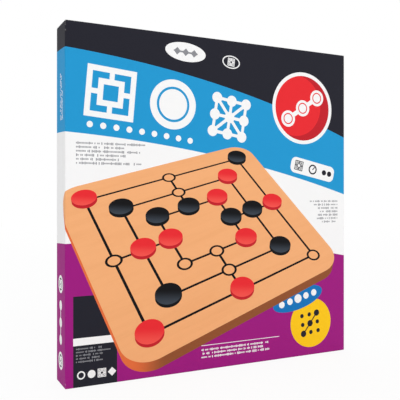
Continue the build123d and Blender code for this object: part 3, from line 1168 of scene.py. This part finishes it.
@dataclass
class PaperWrap:
    """The paper glued over half of the box: its panel, four walls, the fold over the rim and the turn-in."""

    node: str
    body: str
    slot: str
    facing: float
    finish: PrintedPaper
    fold: float = 0.8
    wall: float = 2.1
    paper: float = 0.28
    turn_in: float = 15.0
    seam: float = 1.0
    bow: float = 0.17

    def __post_init__(self) -> None:
        """Reads the half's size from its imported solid."""
        low, high = (np.array(corner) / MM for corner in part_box(self.node))
        self.half = (high - low)[[0, 2]] / 2
        self.middle = (high + low)[[0, 2]] / 2
        self.panel_y = low[1] if self.facing < 0 else high[1]
        self.depth = high[1] - low[1]

    def outline(self) -> Tuple[np.ndarray, np.ndarray, np.ndarray]:
        """Walks once round the box, wall by wall and corner by corner, from the lower left.

        On a wall the point runs along it and the normal stays; round a corner the point stays and the
        normal turns by a quarter.

        Returns:
            Points without the corner radius, normals, and the walked length.
        """
        straight = self.half - self.fold
        points, normals = [], []
        for side in range(4):
            normal, along = (np.array(WAYS[(side + k) % 4], float) for k in range(2))
            reach = abs(along @ straight)
            runs = np.concatenate([[-reach, -reach + self.seam], np.linspace(4 - reach, reach - 4, RUN - 4),
                                   [reach - self.seam, reach]])
            turn = np.linspace(0, np.pi / 2, TURN + 1)[1:-1, None]
            wall = normal * abs(normal @ straight)
            points += [wall + runs[:, None] * along, np.repeat([wall + reach * along], TURN - 1, 0)]
            normals += [np.repeat([normal], RUN, 0), np.cos(turn) * normal + np.sin(turn) * along]
        point, normal = np.concatenate(points), np.concatenate(normals)
        rim = point + normal * self.fold
        strides = np.linalg.norm(np.diff(rim, axis=0, append=rim[:1]), axis=1)
        return point, normal, np.concatenate([[0], np.cumsum(strides)])

    @staticmethod
    def papers() -> np.ndarray:
        """Says which part of the sheet covers each step of the outline: 0 below, 1 right, 2 above, 3 left.

        The side parts reach round each corner as ears, as far as the seam.

        Returns:
            The part's number for each step.
        """
        below = [3] + [0] * (RUN - 3) + [1] * (TURN + 1)
        above = [1] + [2] * (RUN - 3) + [3] * (TURN + 1)
        return np.array(below + [1] * (RUN - 1 + TURN) + above + [3] * (RUN - 1 + TURN))

    def stations(self) -> np.ndarray:
        """Walks the paper's section, outside from the panel's edge to the turn-in's end and back inside.

        A quarter fold of radius r goes r (1 - sin) in from the wall and r (1 - cos) down from the panel.

        Returns:
            For each station how far it is in from the wall, how deep from the panel, and its place on the
            sheet from the start of the fold; inside, the last is -1.
        """
        turn = np.linspace(0, np.pi / 2, 7)
        r, deep = self.fold, self.depth
        rows = [(r * (1 - math.sin(a)), r * (1 - math.cos(a)), r * a) for a in turn]
        mark = r * math.pi / 2
        rows += [(0.0, d, mark + d - r) for d in np.linspace(r, deep - r, 9)[1:]]
        mark += deep - 2 * r
        rows += [(r * (1 - math.cos(a)), deep - r + r * math.sin(a), mark + r * a) for a in turn[1:]]
        mark += r * math.pi / 2 + self.wall - 2 * r
        rows += [(self.wall - r + r * math.sin(a), deep - r + r * math.cos(a), mark + r * a) for a in turn]
        mark += r * math.pi / 2
        rows += [(self.wall, d, mark + deep - r - d) for d in (deep - 5.0, deep - 10.0, deep - self.turn_in)]
        p, inner = self.paper, r - self.paper
        back = [(self.wall - p, deep - self.turn_in), (self.wall - p, deep - r), (self.wall - r, deep - p),
                (r, deep - p), (p, deep - r)]
        back += [(p + inner * (1 - math.sin(a)), p + inner * (1 - math.cos(a))) for a in turn[::-2]]
        return np.array(rows + [(x, d, -1.0) for x, d in back])

    def ripple(self, x: np.ndarray, z: np.ndarray) -> np.ndarray:
        """Depth of the panel's bow: two cosine arches times a slow wave, of the place over the half sizes."""
        arch = np.cos(np.pi / 2 * np.clip(x, -1, 1)) * np.cos(np.pi / 2 * np.clip(z, -1, 1))
        return self.bow * arch * (0.8 + 0.2 * np.sin(4.1 * x + 0.7) * np.cos(3.3 * z - 0.4))

    def lift(self, flat: np.ndarray, deep: np.ndarray) -> np.ndarray:
        """Points in the shared frame, from places on the panel and their depth under it."""
        y = self.panel_y - self.facing * deep
        return np.stack([flat[..., 0] + self.middle[0], y, flat[..., 1] + self.middle[1]], -1)

    def build(self) -> bpy.types.Object:
        """Carries the section round the outline, closes both panels at their middles and maps the sheet.

        A point lies at the outline's point, drawn in with the corner radius that is left, plus the normal
        times that radius; on the panels the whole outline shrinks towards the middle.

        Returns:
            The object.
        """
        point, normal, walked = self.outline()
        rows = self.stations()
        shares = np.concatenate([np.linspace(0.04, 0.96, 24), [0.98, 0.992, 0.998]])
        outer = np.array([(self.fold, 0.0, 0.0, share) for share in shares])
        inner = np.array([(self.fold, self.paper, -1.0, share) for share in shares[::-1]])
        rings = np.concatenate([outer, np.column_stack([rows, np.ones(len(rows))]), inner])
        shrink, down, section, share = (column[:, None] for column in rings.T)
        radius = np.maximum(self.fold - shrink, 0.05)
        factor = (self.half - (shrink + radius)[..., None]) / (self.half - self.fold)
        flat = (point * factor + normal * radius[..., None]) * share[..., None]
        sunk = self.ripple(*np.moveaxis(flat / self.half, -1, 0)) * (share < 1)
        poles = self.lift(np.zeros((2, 2)), (0.0, self.paper) + self.ripple(*np.zeros((2, 2))))
        points = np.concatenate([self.lift(flat, down + sunk).reshape(-1, 3), poles])
        spots, hidden = self.unfold(flat, section[:, 0], walked, len(outer))
        caps, cap_spots = self.close(spots, *flat.shape[:2])
        inside = np.arange(len(caps)) >= len(caps) // 2
        surface = Surface(points, [tube(*flat.shape[:2]), caps])
        surface.maps["sheet"] = [spots * MM, cap_spots * MM]
        surface.maps["OFBake"] = [self.packed(spots, hidden), self.packed(cap_spots, inside)]
        made = surface.piece(f"{self.node}_paper", self.body, self.finish.make())
        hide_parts(self.node)
        return made

    def close(self, spots: np.ndarray, count: int, steps: int) -> Tuple[np.ndarray, np.ndarray]:
        """Makes the fans from the first and the last ring to the two middle points.

        Args:
            spots: the sheet's places of the faces between the rings.
            count: number of rings.
            steps: number of points in each.

        Returns:
            The fans' faces, and their places on the sheet.
        """
        a = np.arange(steps)
        b = np.roll(a, -1)
        pole, last = np.full(steps, count * steps), (count - 1) * steps
        first, end = spots.reshape(count - 1, steps, 4, 2)[[0, -1]].swapaxes(1, 2)
        centre = np.repeat([self.half], steps, 0)
        faces = np.concatenate([np.stack([pole, b, a], -1), np.stack([pole + 1, last + a, last + b], -1)])
        return faces, np.concatenate([np.stack([centre, first[1], first[0]], 1),
                                      np.stack([centre, end[3], end[2]], 1)])

    def unfold(self, flat: np.ndarray, section: np.ndarray, walked: np.ndarray,
               panels: int) -> Tuple[np.ndarray, np.ndarray]:
        """Finds each face corner's place on the unfolded sheet.

        On the panel it is the place itself. On a wall one part is the panel's edge less the walked
        section, and the other the place along the edge, which for the ears is the walked length and so
        goes on round the corner. What is hidden inside goes on ever smaller outlines.

        Args:
            flat: the grid's places from the middle.
            section: the walked section of each ring, -1 where it is hidden.
            walked: the walked length of the outline, with the whole length last.
            panels: how many rings lie on the outer panel.

        Returns:
            The places, and a mask of the hidden faces.
        """
        count, steps = flat.shape[:2]
        width, height = 2 * self.half
        side = RUN + TURN - 1
        hidden = section[1:] < 0
        first = int(np.argmax(hidden))
        shade = np.clip(1 - 0.96 * (np.arange(count) - first) / (count - 1 - first), 0.04, 1.0)
        spots = np.zeros((count - 1, steps, 4, 2))
        for number, (ring, step) in enumerate(((0, 0), (0, 1), (1, 1), (1, 0))):
            column = (np.arange(steps) + step) % steps
            rows = slice(ring, count - 1 + ring)
            planar = flat[rows][:, column] + self.half
            past = np.maximum(section[rows], 0.0)[:, None] + np.zeros((1, steps))
            right = self.fold + walked[column] - walked[side]
            left = height - self.fold - (walked[column] + walked[-1] * (column <= 1) - walked[3 * side])
            options = [np.stack([planar[..., 0], self.fold - past], -1),
                       np.stack([width - self.fold + past, right + 0 * past], -1),
                       np.stack([planar[..., 0], height - self.fold + past], -1),
                       np.stack([self.fold - past, left + 0 * past], -1)]
            chosen = np.choose(self.papers()[None, :, None], options)
            small = flat[first][column] * shade[rows][:, None, None] + self.half
            on_panel = (np.arange(count - 1) < panels)[:, None, None]
            spots[:, :, number] = np.where(on_panel, planar, np.where(hidden[:, None, None], small, chosen))
        if self.facing > 0:
            spots[..., 0] = width - spots[..., 0]
        return spots.reshape(-1, 4, 2), np.repeat(hidden, steps)

    def packed(self, spots: np.ndarray, hidden: np.ndarray) -> np.ndarray:
        """Fits the sheet into the unit square.

        Its arms past the rim are pressed short, and what is hidden inside goes small into a corner.

        Args:
            spots: places on the sheet.
            hidden: mask of the hidden faces.

        Returns:
            Places in the unit square.
        """
        size, rim = 2 * self.half, self.depth + 1.5
        margin = rim + 7.0
        beyond = np.abs(spots - self.half) - self.half
        pressed = np.where(beyond > rim, rim + (beyond - rim) * 0.35, beyond)
        placed = self.half + margin + np.sign(spots - self.half) * (self.half + pressed)
        placed /= size + 2 * margin
        tucked = spots / size * 0.07 + 0.005
        return np.clip(np.where(hidden[:, None, None], tucked, placed), 0.001, 0.999)


@dataclass
class RulesLeaflet:
    """Two folded sheets, one in the other, that gape a little at their free edge."""

    node: str = "rules_leaflet"
    paper: float = 0.1
    finish: LeafletPaper = LeafletPaper()

    def outline(self, bend: float, gape: float, start: float, end: float) -> np.ndarray:
        """Draws one folded sheet from its end, as a closed loop.

        The middle line runs in from the free edge, round a half circle at the spine and out again. Its
        distance from the mid-plane grows with the square of the way from the spine. Half the paper's
        thickness to each side of it along its normal gives the loop.

        Args:
            bend: radius of the half circle.
            gape: distance from the mid-plane at the free edge.
            start: place of the spine's outside.
            end: place of the free edge.

        Returns:
            The loop's points, its second half back along the first.
        """
        spine = start + bend + self.paper / 2
        way = np.linspace(1.0, 0.0, 33)
        turn = np.linspace(np.pi / 2, 3 * np.pi / 2, 11)[1:-1]
        leaf = np.stack([spine + (end - spine) * way, bend + (gape - bend) * way ** 2], -1)
        bow = np.stack([spine + bend * np.cos(turn), bend * np.sin(turn)], -1)
        line = np.concatenate([leaf, bow, leaf[::-1] * (1, -1)])
        slope = np.gradient(line, axis=0)
        side = slope[:, ::-1] * (-1, 1) / np.linalg.norm(slope, axis=1, keepdims=True) * self.paper / 2
        return np.concatenate([line + side, (line - side)[::-1]])

    def build(self) -> bpy.types.Object:
        """Carries each folded sheet's loop up the leaflet and closes its ends.

        Returns:
            The object.
        """
        low, high = (np.array(corner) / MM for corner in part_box(self.node))
        levels = np.linspace(low[2], high[2], 13)[:, None]
        points, faces, before = [], [], 0
        for bend, gape, short in ((0.26, 0.30, 0.0), (0.10, 0.14, 0.4)):
            x, y = self.outline(bend, gape, low[0] + short, high[0] - short).T
            grid = np.broadcast_arrays(x, y + (low[1] + high[1]) / 2, levels)
            points.append(np.stack(grid, -1).reshape(-1, 3))
            count, a = len(x), np.arange(len(x) // 2 - 1)
            strip = before + np.stack([a, count - 1 - a, count - 2 - a, a + 1], -1)
            top = (len(levels) - 1) * count
            faces += [before + tube(len(levels), count), strip, top + strip[:, ::-1]]
            before += len(points[-1])
        surface = Surface(np.concatenate(points), faces)
        made = surface.piece("rules_leaflet_sheets", "leaflet", self.finish.make())
        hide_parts(self.node)
        return made


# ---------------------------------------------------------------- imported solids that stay

@dataclass(frozen=True)
class PackedPieces:
    """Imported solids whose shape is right, and the finish that they get."""

    names: Tuple[str, ...]
    finish: Union[Greyboard, GummedTape, FormedSheet, BoardWood, Man]

    def dress(self) -> None:
        """Puts one material on every slot of each solid."""
        material = self.finish.make()
        for name in self.names:
            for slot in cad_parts[name].material_slots:
                slot.material = material
            LOG.info("%s: %s", name, material.name)


# ---------------------------------------------------------------- the studio

@dataclass(frozen=True)
class Studio:
    """A plain pale floor under a white sky, soft lamps, and the camera."""

    camera_place: Triple = (-0.2373, -0.4561, 0.1427)
    camera_turn: float = -26.26
    lens: float = 54.25
    shift: float = -0.01
    sky: float = 0.73
    key: float = 11.5
    fill: float = 4.0
    back: float = 7.0
    floor_reach: float = 20.0

    def build(self) -> None:
        """Sets up the sky, floor, lamps and camera."""
        self.set_sky()
        self.lay_floor()
        self.hang_lamp("key", (-0.5, -1.6, 1.5), 1.4, self.key)
        self.hang_lamp("fill", (1.6, -1.2, 0.7), 1.6, self.fill)
        self.hang_lamp("back", (0.7, 1.8, 1.3), 1.6, self.back)
        self.stand_camera()

    @staticmethod
    def seen(bench: Bench) -> Wire:
        """Masks the rays that show the plain background: from the camera, or by gloss or glass.

        Args:
            bench: the material.

        Returns:
            The mask.
        """
        path = bench.node("LightPath", {}, {})
        straight, gloss, through = (bench.wire(path, name) for name in (
            "Is Camera Ray", "Is Glossy Ray", "Is Transmission Ray"))
        return straight | gloss | through

    @staticmethod
    def blend(bench: Bench, share: Wire, lit: bpy.types.Node, shown: bpy.types.Node, output: str) -> None:
        """Ends a material with one shader that lights the scene and another for its share that is shown."""
        mixed = bench.node("MixShader", {}, {0: share, 1: bench.wire(lit), 2: bench.wire(shown)})
        bench.node(output, {}, {"Surface": bench.wire(mixed)})

    def set_sky(self) -> None:
        """Makes the sky plain white where it is seen and dimmer as a light."""
        bpy.context.scene.world = bpy.data.worlds.new("sky")
        bench = Bench(bpy.context.scene.world)
        lit, shown = (bench.node("Background", {}, {"Color": (1, 1, 1, 1), "Strength": strength})
                      for strength in (self.sky, 1.0))
        self.blend(bench, self.seen(bench), lit, shown, "OutputWorld")

    def lay_floor(self) -> None:
        """Lays a wide floor, white where it is seen, that keeps part of the soft shadow near the box."""
        reach = self.floor_reach
        mesh = bpy.data.meshes.new("floor")
        mesh.from_pydata([(-reach, -reach, 0), (reach, -reach, 0), (reach, reach, 0), (-reach, reach, 0)], [],
                         [(0, 1, 2, 3)])
        bench = Bench("floor")
        matt = bench.node("BsdfDiffuse", {}, {"Color": (0.94, 0.94, 0.94, 1.0)})
        white = bench.node("Emission", {}, {"Color": (1, 1, 1, 1), "Strength": 1.0})
        far = bench.spread(bench.vector("LENGTH", bench.own_place()), 400.0, 2500.0)
        self.blend(bench, self.seen(bench) * (0.9 + 0.1 * far), matt, white, "OutputMaterial")
        mesh.materials.append(bench.material)
        floor = bpy.data.objects.new("floor", mesh)
        bpy.context.collection.objects.link(floor)

    @staticmethod
    def hang_lamp(name: str, place: Triple, size: float, power: float) -> None:
        """Hangs a square soft lamp that looks at the box's middle.

        Args:
            name: its name.
            place: where it hangs, in metres.
            size: its side.
            power: its power in watts.
        """
        data = bpy.data.lights.new(name, "AREA")
        data.size, data.energy = size, power
        lamp = bpy.data.objects.new(name, data)
        lamp.location = place
        toward = Vector((0.0, 0.0, 0.14)) - Vector(place)
        lamp.rotation_euler = toward.to_track_quat("-Z", "Y").to_euler()
        bpy.context.collection.objects.link(lamp)

    def stand_camera(self) -> None:
        """Stands the level camera to the left of the box."""
        data = bpy.data.cameras.new("camera")
        data.lens, data.sensor_width, data.shift_y = self.lens, 36.0, self.shift
        data.clip_start = 0.01
        camera = bpy.data.objects.new("camera", data)
        camera.location = self.camera_place
        camera.rotation_euler = (math.radians(90.0), 0.0, math.radians(self.camera_turn))
        bpy.context.collection.objects.link(camera)
        bpy.context.scene.camera = camera


def main() -> None:
    """Builds the studio, the two papers and the leaflet, and dresses the solids that stay."""
    logging.basicConfig(level=logging.INFO, format="%(name)s %(message)s")
    view = bpy.context.scene.view_settings
    view.view_transform = "Standard"
    Studio().build()
    PaperWrap("lid_wrap", "lid", "lid_print", -1.0, PrintedPaper("lid_print", LidPrint())).build()
    PaperWrap("base_wrap", "base", "base_print", 1.0, PrintedPaper("base_print", BasePrint(), 25.4)).build()
    RulesLeaflet().build()
    men = {side: tuple(f"{side.name.lower()}_stone_{k}" for k in range(1, 10)) for side in Man}
    for pieces in (PackedPieces(("lid_shell", "base_shell"), Greyboard()),
                   PackedPieces(("lid_corner_tapes", "base_corner_tapes"), GummedTape()),
                   PackedPieces(("tray",), FormedSheet()),
                   PackedPieces(("game_board",), BoardWood()),
                   PackedPieces(men[Man.RED], Man.RED),
                   PackedPieces(men[Man.BLACK], Man.BLACK)):
        pieces.dress()


if __name__ == "__main__":
    main()
